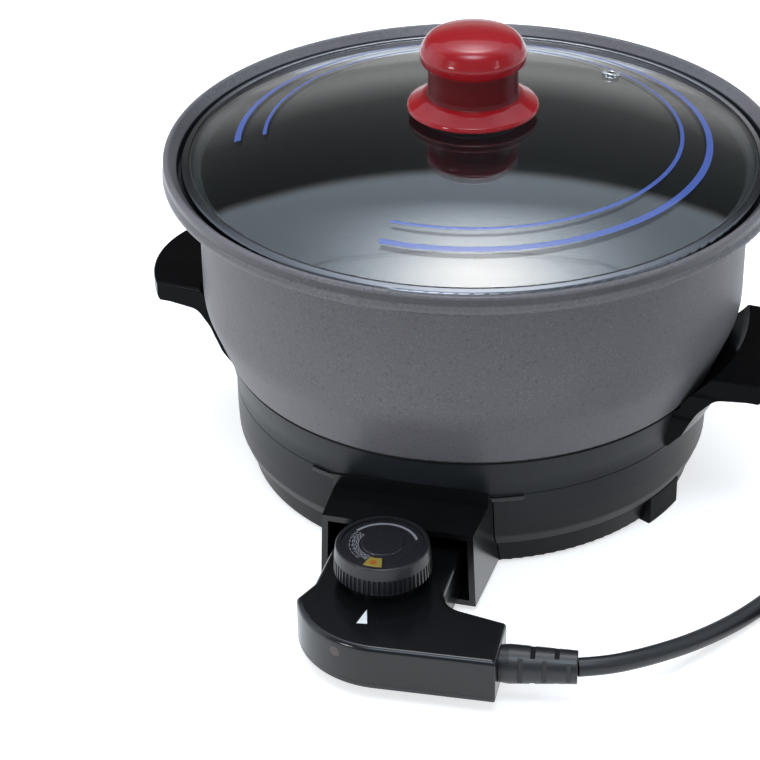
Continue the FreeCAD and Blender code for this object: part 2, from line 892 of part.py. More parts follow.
def make_vent():
    corners = [
        (vent_radius, -glass_thick - 0.6),
        (vent_radius + 0.8, -glass_thick - 0.6),
        (vent_radius + 0.8, touch_gap),
        (vent_radius + 2.6, touch_gap, 0.3),
        (vent_radius + 2.2, 1.2, 0.5),
        (vent_radius, 1.0, 0.5),
    ]
    save("vent_eyelet", vent_frame(turned(corners)))


gasket_top = glass_peak + 0.6
neck_bottom = gasket_top + knob_flange_height
cap_bottom = neck_bottom + knob_neck_height
knob_top = cap_bottom + knob_cap_height


def make_knob():
    bolt = knob_bolt_radius + fit_gap
    flange = knob_flange_radius
    neck = knob_neck_radius
    base = turned([
        (bolt, gasket_top),
        (flange - 4, gasket_top, 2),
        (flange, gasket_top + 1.2, 0.7),
        (flange - 0.6, gasket_top + 3.2, 1.5),
        (neck + 2.6, neck_bottom - 0.8, 3),
        (neck + 0.3, neck_bottom - 0.2, 0.4),
        (neck, neck_bottom + 2),
        (neck - 0.4, cap_bottom),
        (bolt, cap_bottom),
    ])
    cap_corners = [
        (0, cap_bottom + touch_gap),
        (neck - 0.2, cap_bottom + touch_gap, 0.4),
        (knob_cap_radius - 0.6, cap_bottom + 1.8, 3),
        (knob_cap_radius + 0.4, cap_bottom + 6.5, 6),
        (knob_cap_radius - 3.2, knob_top - 3.6, 8),
        (13.0, knob_top - 1.0, 50),
        (4.5, knob_top, 55),
        (0, knob_top),
    ]
    cap = turned(cap_corners)
    socket = Part.makeCylinder(knob_bolt_radius + 0.02, 10, Vector(0, 0, cap_bottom))
    save("knob_base", base)
    save("knob_cap", cap.cut(socket))


def make_knob_fixing():
    under = dome_height(0, glass_thick)
    gasket = dome_shell(knob_bolt_radius + 1.0, 24, -0.55, -0.05)
    save("knob_gasket", gasket)
    washer = dome_shell(knob_bolt_radius + 0.2, 9.0, glass_thick + 0.1, glass_thick + 1.3)
    save("knob_washer", washer)
    bolt = screw(4.6, 2.6, knob_bolt_radius, cap_bottom + 9 - under + 1.5)
    bolt.translate(Vector(0, 0, under - 1.5))
    save("knob_screw", bolt)


make_glass()
make_band()
make_vent()
make_knob()
make_knob_fixing()

# ---- control -------------------------------------------------------------------------

control_bottom = pin_height - control_drop
control_top = control_bottom + control_height
split_height = control_bottom + cover_split
neck_end = guard_front - neck_insertion
dial_distance = guard_front + dial_projection
arm_back = guard_front + arm_projection
control_shoulder = guard_front + shoulder_projection
control_front = guard_front + front_projection
relief_distance = control_front - relief_setback
collar_radius = dial_radius - collar_inset


def control_outline():
    """Control from above: neck, rounded front and the arm that carries the cord."""
    neck_left = -neck_half_width
    return [
        (neck_half_width, -neck_end, 1.0),
        (neck_half_width, -arm_back + 5.6, 12.5),
        (control_right - 1.8, -arm_back, 1.0),
        (control_right, -control_front + 5.8, 1.0),
        (-control_left + 12.4, -control_front, 43),
        (-control_left, -control_shoulder, 2.5),
        (neck_left, -control_shoulder + 12.5, 8),
        (neck_left, -neck_end, 1.0),
    ]


def inset(corners, low, high, distance):
    """Prism of an outline drawn in by a distance."""
    wire = rounded(corners, plan_point)
    wire = wire.makeOffset2D(-distance)
    solid = Part.Face(wire).extrude(Vector(0, 0, high - low))
    solid.translate(Vector(0, 0, low))
    return solid


def soft_top(solid, height, radius):
    """Round the edges of a prism's upper face."""
    edges = [e for e in solid.Edges if e.BoundBox.ZMin > height - 0.01]
    return solid.makeFillet(radius, edges)


def control_screw_places():
    """Two screws in the neck and two behind the front, each a boss inside the wall."""
    neck = neck_half_width - 7.1
    back = -neck_end - 12.5
    front = -control_shoulder - 3
    return [Vector(-neck, back, 0), Vector(neck, back, 0),
            Vector(-control_left + 10.2, front, 0), Vector(control_right - 15.4, front, 0)]


def make_control_cover():
    low = split_height + touch_gap
    cover = soft_top(slab(control_outline(), low, control_top), control_top, cover_edge)
    hollow = inset(control_outline(), low - 1, control_top - control_wall, control_wall)
    cover = cover.cut(hollow)
    for place in control_screw_places():
        base_point = Vector(place.x, place.y, low)
        post = Part.makeCylinder(3.2, control_top - control_wall + 0.5 - low, base_point)
        cover = cover.fuse(post).cut(Part.makeCylinder(1.53, 15, base_point))
    outside = -neck_end + 2
    for place in pin_places(outside):
        cover = cover.cut(rod(pin_radius + 0.6, place, place - Vector(0, 8, 0)))
    middle = Vector(0, outside, pin_height)
    cover = cover.cut(rod(probe_radius + 0.05, middle, middle - Vector(0, 8, 0)))
    shaft = Vector(0, -dial_distance, control_top - 6)
    cover = cover.cut(rod(shaft_radius + 0.6, shaft, shaft + Vector(0, 0, 12)))
    cover = cover.cut(relief_passage()).cut(lens_shape(0.05))
    save("control_cover", cover.removeSplitter())


def relief_direction():
    return polar(1.0, relief_turn)


def relief_start():
    """Where the strain relief leaves the arm's end face."""
    return Vector(control_right, -relief_distance, control_bottom + control_height / 2)


def relief_passage():
    along = relief_direction()
    start = relief_start() - along * 8
    return rod(relief_neck + 0.1, start, start + along * 12)


def lens_shape(grow):
    """Pilot-lamp lens let into the rounded front."""
    centre = Vector(-9.3, -control_front + 4.2, control_bottom + 15.4)
    outward = Vector(-0.43, -0.90, 0)
    lens = Part.makeCylinder(2.6 + grow, 6.0)
    lens = laid_along(lens, centre - outward * 2.6, outward)
    return lens.common(slab(control_outline(), control_bottom, control_top))


def make_control_base():
    base = slab(control_outline(), control_bottom, split_height)
    low_edges = [e for e in base.Edges if e.BoundBox.ZMax < control_bottom + 0.01]
    base = base.makeFillet(0.8, low_edges)
    lip = inset(control_outline(), split_height - 0.5, split_height + 3.0,
                control_wall + fit_gap)
    lip_inner = inset(control_outline(), split_height - 1.0, split_height + 4.0,
                      control_wall + fit_gap + 1.6)
    base = base.fuse(lip.cut(lip_inner))
    base = base.cut(relief_passage())
    for place in control_screw_places():
        foot = Vector(place.x, place.y, control_bottom)
        base = base.cut(Part.makeCylinder(3.4, control_height, foot + Vector(0, 0, cover_split)))
        base = base.cut(Part.makeCylinder(1.7, control_height, foot))
        base = base.cut(Part.makeCylinder(3.1, 1.5, foot))
    save("control_base", base.removeSplitter())


def make_control_screws():
    screws = []
    for place in control_screw_places():
        fixing = screw(2.9, 1.3, 1.5, 12)
        fixing.translate(Vector(place.x, place.y, control_bottom + 1.5))
        screws.append(fixing)
    save("control_screws", *screws)


def make_collar():
    corners = [
        (shaft_radius + 0.5, control_top + touch_gap),
        (collar_radius + 0.6, control_top + touch_gap, 0.3),
        (collar_radius + 0.6, control_top + 2.4, 0.5),
        (collar_radius - 0.6, control_top + 2.8),
        (collar_radius - 0.6, control_top + 5.4, 0.6),
        (shaft_radius + 0.5, control_top + 5.4),
    ]
    collar = turned(corners)
    collar.translate(Vector(0, -dial_distance, 0))
    save("dial_collar", collar)


def make_switch_and_probe():
    front = -neck_end - control_wall - 2 * touch_gap - sleeve_length
    switch = block(-17, 17, -dial_distance - 9, front,
                   split_height + touch_gap, control_top - 8)
    save("thermostat_switch", switch)
    shank = Vector(0, front + touch_gap, pin_height)
    length = -probe_tip - shank.y
    probe = laid_along(round_nosed(probe_radius, length), shank, Vector(0, 1, 0))
    save("thermostat_probe", probe)
    sleeves = []
    for place in pin_places(front + touch_gap):
        end = place + Vector(0, sleeve_length, 0)
        bore = rod(pin_radius + pin_clear, place - Vector(0, 1, 0), end + Vector(0, 1, 0))
        sleeves.append(rod(pin_radius + 1.4, place, end).cut(bore))
    save("contact_sleeves", *sleeves)


make_control_cover()
make_control_base()
make_control_screws()
make_collar()
make_switch_and_probe()
save("pilot_lens", lens_shape(0.0))

# ---- dial ----------------------------------------------------------------------------

dial_bottom = control_top + dial_lift
dial_top = dial_bottom + dial_height
plate_radius = dial_radius - dial_rim


def at_dial(solid):
    solid.translate(Vector(0, -dial_distance, 0))
    return solid


def make_dial():
    cup = turned([
        (shaft_radius + 0.02, dial_bottom + 2.5),
        (shaft_radius + 3, dial_bottom + 2.5),
        (shaft_radius + 3, dial_top - 4.5),
        (dial_radius - dial_wall - 0.6, dial_top - 4.5),
        (dial_radius - dial_wall, dial_bottom),
        (dial_radius + dial_flare, dial_bottom, 0.5),
        (dial_radius + dial_flare * 0.6, dial_bottom + rib_height, 12),
        (dial_radius, dial_top, 0.9),
        (plate_radius + touch_gap, dial_top),
        (plate_radius + touch_gap, dial_top - plate_thick - 0.8),
        (shaft_radius + 0.02, dial_top - plate_thick - 0.8),
    ])
    start = Vector(dial_radius + dial_flare * 0.6 + rib_depth * 0.3, 0, dial_bottom - 1.0)
    groove = Part.makeCylinder(rib_depth * 1.3, rib_height + 1.0, start)
    grooves = [about_axis(groove, 360.0 / dial_ribs * index) for index in range(dial_ribs)]
    save("dial", at_dial(cup.cut(Part.makeCompound(grooves))))


def make_dial_plate():
    low = dial_top - plate_thick - 0.8 + 0.02
    high = low + plate_thick
    plate = turned([
        (0, low),
        (plate_radius, low),
        (plate_radius, high, 0.2),
        (9.6, high),
        (9.2, high + 0.7, 0.3),
        (0, high + 0.7),
    ])
    save("dial_plate", at_dial(plate))


def make_shaft():
    shaft = turned([
        (0, control_top - 7.8),
        (shaft_radius, control_top - 7.8),
        (shaft_radius, dial_top - plate_thick - 0.9),
        (0, dial_top - plate_thick - 0.9),
    ])
    save("dial_shaft", at_dial(shaft))


make_dial()
make_dial_plate()
make_shaft()

# ---- cord ----------------------------------------------------------------------------

cord_radius = cord_diameter / 2
coil_outer_turn = coil_inner_turn + cord_diameter * (coil_columns - 1)
along_relief = relief_direction()
relief_exit = relief_start() + along_relief * relief_length

# The cord's centre line from the strain relief to the coil, chosen by hand.
cord_route = [
    relief_exit,
    Vector(107.3, -193.4, 18.8),
    Vector(119.6, -183.4, 17.2),
    Vector(129.4, -171.8, 14.3),
    Vector(139.4, -158.8, 11.4),
    Vector(148.6, -144.4, 8.4),
    Vector(157.9, -128.5, 5.8),
    Vector(166.4, -112.5, 4.5),
    Vector(174.8, -96.6, 4.35),
    Vector(180.5, -86.0, 4.35),
]


def make_relief():
    """Tapered sleeve moulded on the cord, slotted by turns across and up to let it bend."""
    corners = [(0, -1.5), (relief_radius - 0.6, -1.5), (relief_radius, 3.0, 2.0),
               (relief_end_radius, relief_length, 0.5), (0, relief_length)]
    sleeve = turned(corners)
    slots = []
    for index in range(relief_slots):
        middle = relief_first_slot + index * relief_slot_step
        low, high = middle - relief_slot_width / 2, middle + relief_slot_width / 2
        slot = block(relief_slot_floor, 2 * relief_radius, -relief_radius, relief_radius,
                     low, high)
        turn = 90 * ((index + 1) % 2)
        slots += [about_axis(slot, turn), about_axis(slot, turn + 180)]
    sleeve = sleeve.cut(Part.makeCompound(slots))
    relief = laid_along(sleeve, relief_start(), along_relief)
    relief = relief.cut(slab(control_outline(), 0, control_top + 5))
    inside = relief_start() - along_relief * 6
    neck = rod(relief_neck, inside, relief_start() + along_relief * 2)
    save("strain_relief", relief.fuse(neck).removeSplitter())


def make_cord():
    path = bent_path(cord_route)
    cord = tube(path, cord_radius)
    expected = math.pi * cord_radius ** 2 * path.Length
    print(f"cord tube: length {path.Length:.1f} mm, volume {cord.Volume:.0f} of {expected:.0f} mm3")
    start, heading = tail_start()
    tail = rod(cord_radius, start + heading * 16, plug_start() - heading * touch_gap)
    save("cord", cord, tail)


def make_coil():
    inner = coil_inner_turn - cord_radius
    outer = inner + coil_columns * cord_diameter
    top = coil_layers * cord_diameter + 0.1
    coil = turned([
        (inner, 0.1, 2),
        (outer, 0.1, 2),
        (outer, top, 2),
        (inner, top, 2),
    ])
    coil.translate(Vector(*coil_centre, 0))
    save("cord_coil", coil)


def tail_start():
    """Where the cord leaves the coil's upper outer turn, and its heading there."""
    place = polar(coil_outer_turn, tail_angle, plug_radius + 0.1)
    return place + Vector(*coil_centre, 0), polar(1.0, tail_angle - 90)


def plug_start():
    start, heading = tail_start()
    return start + heading * tail_length


def make_plug():
    heading = tail_start()[1]
    tail = plug_start()
    body = turned([
        (0, 0),
        (cord_radius + 1.4, 0, 0.6),
        (cord_radius + 2.2, 14, 4),
        (plug_radius - 1.5, 20, 5),
        (plug_radius, plug_length, 1.2),
        (0, plug_length),
    ])
    save("plug_body", laid_along(body, tail, heading))
    face = tail + heading * (plug_length + touch_gap)
    across = heading.cross(Vector(0, 0, 1)).normalize()
    pins = []
    for side in (-1, 1):
        start = face + across * (side * plug_pin_spacing / 2)
        pins.append(rod(plug_pin_radius, start, start + heading * plug_pin_length))
    save("plug_pins", *pins)


make_relief()
make_cord()
make_coil()
make_plug()
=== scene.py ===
import math

import bmesh
import bpy
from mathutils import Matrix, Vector


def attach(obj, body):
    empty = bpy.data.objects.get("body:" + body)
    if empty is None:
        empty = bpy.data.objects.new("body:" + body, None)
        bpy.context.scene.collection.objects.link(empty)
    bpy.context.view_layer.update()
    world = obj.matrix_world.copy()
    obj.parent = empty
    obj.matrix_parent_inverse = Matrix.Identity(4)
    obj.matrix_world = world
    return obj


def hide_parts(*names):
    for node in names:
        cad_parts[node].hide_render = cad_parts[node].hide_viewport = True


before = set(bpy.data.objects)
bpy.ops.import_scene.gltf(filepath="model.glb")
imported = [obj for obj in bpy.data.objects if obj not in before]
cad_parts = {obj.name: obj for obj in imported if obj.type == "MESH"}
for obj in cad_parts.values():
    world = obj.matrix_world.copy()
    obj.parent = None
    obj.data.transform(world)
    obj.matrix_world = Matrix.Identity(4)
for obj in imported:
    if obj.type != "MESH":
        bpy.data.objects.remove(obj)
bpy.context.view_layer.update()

# ---- camera --------------------------------------------------------------------------
# A long lens on a stand, a little to the right of the control and looking down into
# the pot.

view_camera = bpy.data.cameras.new("view_camera")
view_camera.lens = 113.68
view_camera.sensor_width = 36.0
view_camera.clip_start = 0.05
camera = bpy.data.objects.new("view_camera", view_camera)
camera.location = (0.24347, -1.01852, 0.67667)
camera.rotation_euler = [math.radians(angle) for angle in (58.4971, 0.8578, 15.4743)]
bpy.context.scene.collection.objects.link(camera)
bpy.context.scene.camera = camera
bpy.context.scene.view_settings.view_transform = "Standard"


# ---- cord ----------------------------------------------------------------------------
# The mains lead: rubber over twisted cores, moulded into the control's strain relief at
# one end and into the plug at the other. What is to spare is wound up and tied.

cord_diameter = 0.0085
cord_exit = (0.09594, -0.19775, 0.0190)
cord_run = [
    cord_exit,
    (0.1073, -0.1934, 0.0188),
    (0.1196, -0.1834, 0.0172),
    (0.1294, -0.1718, 0.0143),
    (0.1394, -0.1588, 0.0114),
    (0.1486, -0.1444, 0.0084),
    (0.1579, -0.1285, 0.0058),
    (0.1664, -0.1125, 0.0045),
    (0.1748, -0.0966, 0.00435),
]
coil_centre = Vector((0.2268, -0.1106, 0))
coil_inner_turn = 0.0440
coil_outer_turn = coil_inner_turn + cord_diameter
coil_low_turn = cord_diameter / 2 + 0.0001
coil_high_turn = coil_low_turn + cord_diameter
tail_angle = -20
tail_height = 0.0128
tail_points = (0.0, 0.019, 0.038)


def heading(angle):
    """Level direction at an angle in degrees, from X toward Y."""
    turn = math.radians(angle)
    return Vector((math.cos(turn), math.sin(turn), 0))


def coil_points():
    """Turns of the coil: outer lower, inner lower, inner upper, then outer upper."""
    stops = [
        (152, coil_outer_turn, coil_low_turn),
        (-188, coil_outer_turn, coil_low_turn),
        (-228, coil_inner_turn, coil_low_turn),
        (-548, coil_inner_turn, coil_low_turn),
        (-588, coil_inner_turn, coil_high_turn),
        (-908, coil_inner_turn, coil_high_turn),
        (-948, coil_outer_turn, coil_high_turn),
        (-1100, coil_outer_turn, coil_high_turn),
    ]
    points = []
    for (start, start_reach, start_height), (end, end_reach, end_height) in zip(
            stops, stops[1:]):
        count = max(2, round((start - end) / 20))
        for step in range(count):
            share = step / count
            reach = start_reach + (end_reach - start_reach) * share
            rise = start_height + (end_height - start_height) * share
            out = heading(start + (end - start) * share)
            points.append(coil_centre + out * reach + Vector((0, 0, rise)))
    return points


def coil_leave(distance):
    """Point on the tail, a distance after the cord leaves the coil."""
    start = coil_centre + heading(tail_angle) * coil_outer_turn + Vector((0, 0, tail_height))
    return start + heading(tail_angle - 90) * distance


class Wire:
    """A shader's socket. Sums on it add Math nodes, and node() adds any other node."""

    def __init__(self, tree, socket):
        self.tree = tree
        self.socket = socket

    def node(self, kind, settings=None, values=None, output=0):
        """A new node: its settings are made first, then its sockets' values or links."""
        added = self.tree.nodes.new("ShaderNode" + kind)
        for name, setting in (settings or {}).items():
            if name == "stops":
                stops = added.color_ramp.elements
                while len(stops) < len(setting):
                    stops.new(1.0)
                for stop, (place, colour) in zip(stops, setting):
                    stop.position = place
                    stop.color = (*colour, 1)
            else:
                setattr(added, name, setting)
        for name, value in (values or {}).items():
            if isinstance(value, Wire):
                self.tree.links.new(value.socket, added.inputs[name])
            else:
                added.inputs[name].default_value = value
        return Wire(self.tree, added.outputs[output])

    def math(self, operation, *others):
        return self.node("Math", {"operation": operation}, dict(enumerate((self, *others))))

    def __add__(self, other):
        return self.math("ADD", other)

    __radd__ = __add__

    def __sub__(self, other):
        return self.math("SUBTRACT", other)

    def __rsub__(self, other):
        return (self * -1) + other

    def __mul__(self, other):
        return self.math("MULTIPLY", other)

    __rmul__ = __mul__

    def __truediv__(self, other):
        return self.math("DIVIDE", other)

    def limited(self):
        """This value held between 0 and 1."""
        return self.node("Clamp", None, {"Value": self})

    def tinted(self, low, high):
        """Colour from low to high as this value goes from 0 to 1."""
        ends = [end if isinstance(end, Wire) else (*end, 1) for end in (low, high)]
        return self.node("Mix", {"data_type": "RGBA"}, {0: self, 6: ends[0], 7: ends[1]}, 2)

    def parts(self):
        """The X, Y and Z of this place."""
        split = self.node("SeparateXYZ", None, {"Vector": self}).socket.node
        return [Wire(self.tree, split.outputs[axis]) for axis in "XYZ"]

    def noise(self, scale, detail=2.0, stretch=None):
        """Cloudy value, about 0.5, of this place; stretch scales the place along X, Y, Z."""
        place = self
        if stretch:
            place = self.node("VectorMath", {"operation": "MULTIPLY"}, {0: self, 1: stretch})
        return self.node("TexNoise", None, {"Vector": place, "Scale": scale, "Detail": detail})

    def bumped(self, depth):
        """Surface direction with this value raised by a depth in metres."""
        return self.node("Bump", None, {"Height": self, "Distance": depth})

    def feed(self, name):
        """Link this to a socket of the material's Principled shader."""
        shader = self.tree.nodes["Principled BSDF"]
        self.tree.links.new(self.socket, shader.inputs[name])


def new_finish(name, fixed=None):
    """A material with the sockets that are the same all over, and its object place."""
    material = bpy.data.materials.new(name)
    material.use_nodes = True
    tree = material.node_tree
    for socket, value in (fixed or {}).items():
        tree.nodes["Principled BSDF"].inputs[socket].default_value = value
    return material, Wire(tree, None).node("TexCoord", output=3)


def moulded(name, colour, roughness, grain=2600.0, depth=0.00002, mottle=0.25, fixed=None):
    """Plastic, rubber or silicone out of a mould: a faint mottle and a fine grain."""
    material, place = new_finish(name, fixed)
    cloud = place.noise(38.0, 3.0)
    fine = place.noise(grain, 2.0)
    shade = (cloud * 0.6 + fine * 0.4).limited()
    dark = [part * (1 - mottle) for part in colour]
    light = [min(1.0, part * (1 + mottle)) for part in colour]
    shade.tinted(dark, light).feed("Base Color")
    (cloud * 0.12 + fine * 0.10 + (roughness - 0.11)).feed("Roughness")
    fine.bumped(depth).feed("Normal")
    return material


cord_line = bpy.data.curves.new("mains_cord", "CURVE")
cord_line.dimensions = "3D"
cord_line.bevel_depth = cord_diameter / 2
cord_line.bevel_resolution = 8
cord_line.use_fill_caps = True
cord_line.resolution_u = 12
route = [Vector(point) for point in cord_run] + coil_points()
route += [coil_leave(distance) for distance in tail_points]
spline = cord_line.splines.new("NURBS")
spline.points.add(len(route) - 1)
for point, place in zip(spline.points, route):
    point.co = (*place, 1)
spline.order_u = 3
spline.use_endpoint_u = True
cord_jacket = moulded("cord_jacket", (0.010, 0.010, 0.0115), 0.42, 1500.0, 0.00003, 0.30)
cord_line.materials.append(cord_jacket)
mains_cord = bpy.data.objects.new("mains_cord", cord_line)
bpy.context.scene.collection.objects.link(mains_cord)
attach(mains_cord, "control")
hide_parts("cord", "cord_coil")


# ---- coil ties -----------------------------------------------------------------------
# Two soft rubber bands round the four turns of the coil. Each is a flat loop whose ends
# overlap in a small tab on top.

tie_thick = 0.0008
tie_half_width = 0.0042
tie_edge = 0.0006
tie_corner = 0.0034
tie_gap = 0.0001
tie_low = 0.0009
tie_high = 2 * cord_diameter + 0.0003
tab_sunk = 0.0001
tab_thick = 0.0009
tab_taper = 0.0005
tab_from_inside, tab_from_outside = 0.006, 0.005


def skin(mesh, rows):
    """Faces between rows of points, each row joined to the next."""
    for row, following in zip(rows, rows[1:]):
        for side in range(len(row) - 1):
            mesh.faces.new((row[side], row[side + 1], following[side + 1], following[side]))


def finished(name, mesh, smooth=False):
    """The drawn mesh under its name, flat or smooth all over."""
    done = bpy.data.meshes.new(name)
    mesh.to_mesh(done)
    mesh.free()
    for face in done.polygons:
        face.use_smooth = smooth
    return done


def add_piece(name, mesh, material, body):
    """Put a new piece on the body that carries it."""
    mesh.materials.clear()
    mesh.materials.append(material)
    piece = bpy.data.objects.new(name, mesh)
    bpy.context.scene.collection.objects.link(piece)
    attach(piece, body)
    return piece


def band_round_coil(name, angle):
    """Flat loop across the turns, at an angle round the coil."""
    mesh = bmesh.new()
    out, along = heading(angle), heading(angle + 90)

    def point(reach, side, rise):
        """Point of the mesh, from the coil's middle, the band's middle and the table."""
        return mesh.verts.new(coil_centre + out * reach + along * side + Vector((0, 0, rise)))

    inner = coil_inner_turn - cord_diameter / 2 - tie_gap
    outer = coil_outer_turn + cord_diameter / 2 + tie_gap
    edges = ((-tie_half_width, 0), (-tie_half_width + tie_edge, tie_thick),
             (tie_half_width - tie_edge, tie_thick), (tie_half_width, 0))
    rings = []
    for reach, rise, first in ((outer - tie_corner, tie_high - tie_corner, 0),
                               (inner + tie_corner, tie_high - tie_corner, 90),
                               (inner + tie_corner, tie_low + tie_corner, 180),
                               (outer - tie_corner, tie_low + tie_corner, 270)):
        for step in range(7):
            sweep = math.radians(first + 15 * step)
            across, up = math.cos(sweep), math.sin(sweep)
            rings.append([point(reach + across * (tie_corner + outward), side,
                                rise + up * (tie_corner + outward))
                          for side, outward in edges])
    skin(mesh, [ring + ring[:1] for ring in rings + rings[:1]])

    tab = []
    top = tie_high + tie_thick
    for rise, taper in ((top - tab_sunk, 0.0), (top + tab_thick, tab_taper)):
        near, far = inner + tab_from_inside + taper, outer - tab_from_outside - taper
        edge = tie_half_width - taper
        tab += [point(near, -edge, rise), point(far, -edge, rise),
                point(far, edge, rise), point(near, edge, rise)]
    for face in ((3, 2, 1, 0), (4, 5, 6, 7), (0, 1, 5, 4), (1, 2, 6, 5), (2, 3, 7, 6),
                 (3, 0, 4, 7)):
        mesh.faces.new([tab[index] for index in face])
    bmesh.ops.recalc_face_normals(mesh, faces=mesh.faces)
    return add_piece(name, finished(name, mesh), tie_rubber, "control")


tie_rubber = moulded("tie_rubber", (0.03, 0.03, 0.032), 0.55, 1800.0, 0.00003)
coil_ties = [band_round_coil("coil_tie_back", 75), band_round_coil("coil_tie_front", 262)]


# ---- strain relief and plug ----------------------------------------------------------
# Both are moulded onto the cord in the same rubber, the relief with pairs of slots that
# let it bend. The plug's round pins are plated brass.


def dress(material, *names):
    """Give CAD pieces their finish."""
    for name in names:
        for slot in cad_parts[name].material_slots:
            slot.material = material


def metal(name, colour, roughness, wear=0.2, scale=320.0, stretch=(1, 1, 1), depth=0.000004):
    """Bare or plated metal: the tool's marks as a stretched cloud in shade and gloss."""
    material, place = new_finish(name, {"Metallic": 1.0})
    marks = place.noise(scale, 4.0, stretch)
    dull = place.noise(24.0, 3.0)
    dark = [part * (1 - wear) for part in colour]
    (marks * 0.7 + dull * 0.3).tinted(dark, colour).feed("Base Color")
    (marks * 0.16 + dull * 0.10 + (roughness - 0.13)).feed("Roughness")
    marks.bumped(depth).feed("Normal")
    return material


dress(moulded("relief_rubber", (0.011, 0.011, 0.012), 0.38, 1500.0, 0.00003), "strain_relief")
dress(moulded("plug_rubber", (0.012, 0.012, 0.013), 0.34, 1700.0, 0.00003), "plug_body")
nickel_plate = metal("nickel_plate", (0.62, 0.60, 0.55), 0.24)
dress(nickel_plate, "plug_pins")


# ---- pot -----------------------------------------------------------------------------
# Die-cast aluminium with a rolled rim. Outside it has a satin grey coat with fine dark
# and violet specks, and inside a black non-stick coat that stops in the lid's seat.
# Painted shade darkens the rim's crest at the front and the groove under it, and painted
# light makes the coat paler low on the wall.

seam_height, seam_radius = 0.0652, 0.1230
wall_radius = 0.1335
wall_slope = 0.385
ledge_height = 0.1572
ledge_step = 0.0108
coat_edge = 0.0012
bare_below = 0.0395
crest_radius = 0.1478
groove_height, groove_half = 0.1646, 0.0022
groove_radius = 0.1480
painted_light_below = 0.105


def from_axis(x, y):
    """Level distance from the middle."""
    return (x * x + y * y).math("SQRT")


pot_paint, place = new_finish("pot_paint", {"Specular IOR Level": 0.26})
across, back, up = place.parts()
radius = from_axis(across, back)
wall = ((up - seam_height) * wall_slope + seam_radius).math("MINIMUM", wall_radius)
on_rim = up.math("GREATER_THAN", ledge_height)
inside = ((wall - coat_edge + on_rim * ledge_step - radius) * 4000 + 0.5).limited()
bare = ((bare_below - up) * 4000).limited()
inside = inside * (1 - bare)
specks = place.noise(1250.0, 1.0)
flakes = place.noise(520.0, 2.0)
cloud = place.noise(16.0, 3.0)
sparkle = ((specks - 0.56) * 9).limited()
pits = ((0.42 - flakes) * 8).limited()
# Painted shade: the top of the rolled rim darkened toward the front.
crest_painted_shade = (on_rim * (crest_radius - radius) * 700).limited()
crest_painted_shade = crest_painted_shade * ((0.09 - back) * 9).limited()
# Painted shade: a dark line in the groove under the rim's crest.
groove_painted_shade = ((groove_half - (up - groove_height).math("ABSOLUTE")) * 1100).limited()
groove_painted_shade = groove_painted_shade * ((radius - groove_radius) * 2500).limited()
grey = cloud.tinted((0.116, 0.107, 0.111), (0.140, 0.130, 0.134))
grey = (sparkle * 0.38).tinted(grey, (0.22, 0.21, 0.235))
grey = (pits * 0.4).tinted(grey, (0.062, 0.055, 0.072))
grey = (crest_painted_shade * 0.55).tinted(grey, (0.035, 0.035, 0.040))
grey = (groove_painted_shade * 0.62).tinted(grey, (0.030, 0.030, 0.034))
# Painted light: the coat made paler low on the wall, toward the base.
grey = ((painted_light_below - up) * 2.5).limited().tinted(grey, (0.30, 0.29, 0.30))
black_coat = specks.tinted((0.006, 0.008, 0.010), (0.014, 0.018, 0.021))
bare_metal = flakes.tinted((0.50, 0.51, 0.53), (0.62, 0.63, 0.64))
bare.tinted(inside.tinted(grey, black_coat), bare_metal).feed("Base Color")
gloss = 0.41 + sparkle * 0.06 + inside * 0.12 + cloud * 0.06
(gloss - on_rim * (1 - inside) * 0.16).feed("Roughness")
(bare * 0.9).feed("Metallic")
((specks * 0.5 + flakes * 0.5) * (1 - inside * 0.8)).bumped(0.00004).feed("Normal")
dress(pot_paint, "pot")


# ---- seam gasket ---------------------------------------------------------------------
# A thin black silicone ring squeezed between the pot and the plastic base, seen as a
# dark line round the seam.

dress(moulded("gasket_silicone", (0.010, 0.010, 0.011), 0.55), "seam_gasket")


# ---- heating element -----------------------------------------------------------------
# A steel-sheathed tube bent to a ring, browned by heat and clamped under the pot, its
# cold ends in ceramic beads round the pins that the control plugs onto. The clamps, the
# heat shield and all the screws are zinc-plated steel.

dress(metal("heat_marked_steel", (0.34, 0.30, 0.26), 0.38, 0.45, 90.0), "heating_element")
dress(metal("zinc_plate", (0.60, 0.61, 0.62), 0.36, 0.25, 420.0),
      "element_clamps", "handle_screws", "guard_screws", "centre_stud",
      "stud_nuts", "control_screws", "knob_screw", "heat_shield")
dress(nickel_plate, "terminal_pins")
dress(moulded("ceramic_glaze", (0.72, 0.68, 0.60), 0.35, 900.0, 0.00001, 0.08),
      "pin_insulators")
dress(metal("socket_aluminium", (0.66, 0.67, 0.69), 0.36, 0.2, 500.0), "probe_socket")


# ---- base ----------------------------------------------------------------------------
# Three rings of glass-filled black plastic that carry the pot and keep its heat off the
# table: a flared upper ring, a plain skirt and a tray, screwed together from below. Painted
# shade makes the ring and skirt darker toward the table and blackens the ring's top edge
# under the pot.

deepest_at = 0.022
lip_height = 0.0630
base_plastic, place = new_finish("base_plastic", {"Specular IOR Level": 0.22})
base_height = place.parts()[2]
cloud = place.noise(38.0, 3.0)
grit = place.noise(1900.0, 2.0)
moulding = (cloud * 0.6 + grit * 0.4).limited()
low_part = moulding.tinted((0.005, 0.005, 0.006), (0.009, 0.0095, 0.010))
high_part = moulding.tinted((0.012, 0.0135, 0.0155), (0.021, 0.023, 0.026))
# Painted shade: the ring and skirt darker toward the table.
painted_height_shade = ((base_height - deepest_at) * 34).limited().tinted(low_part, high_part)
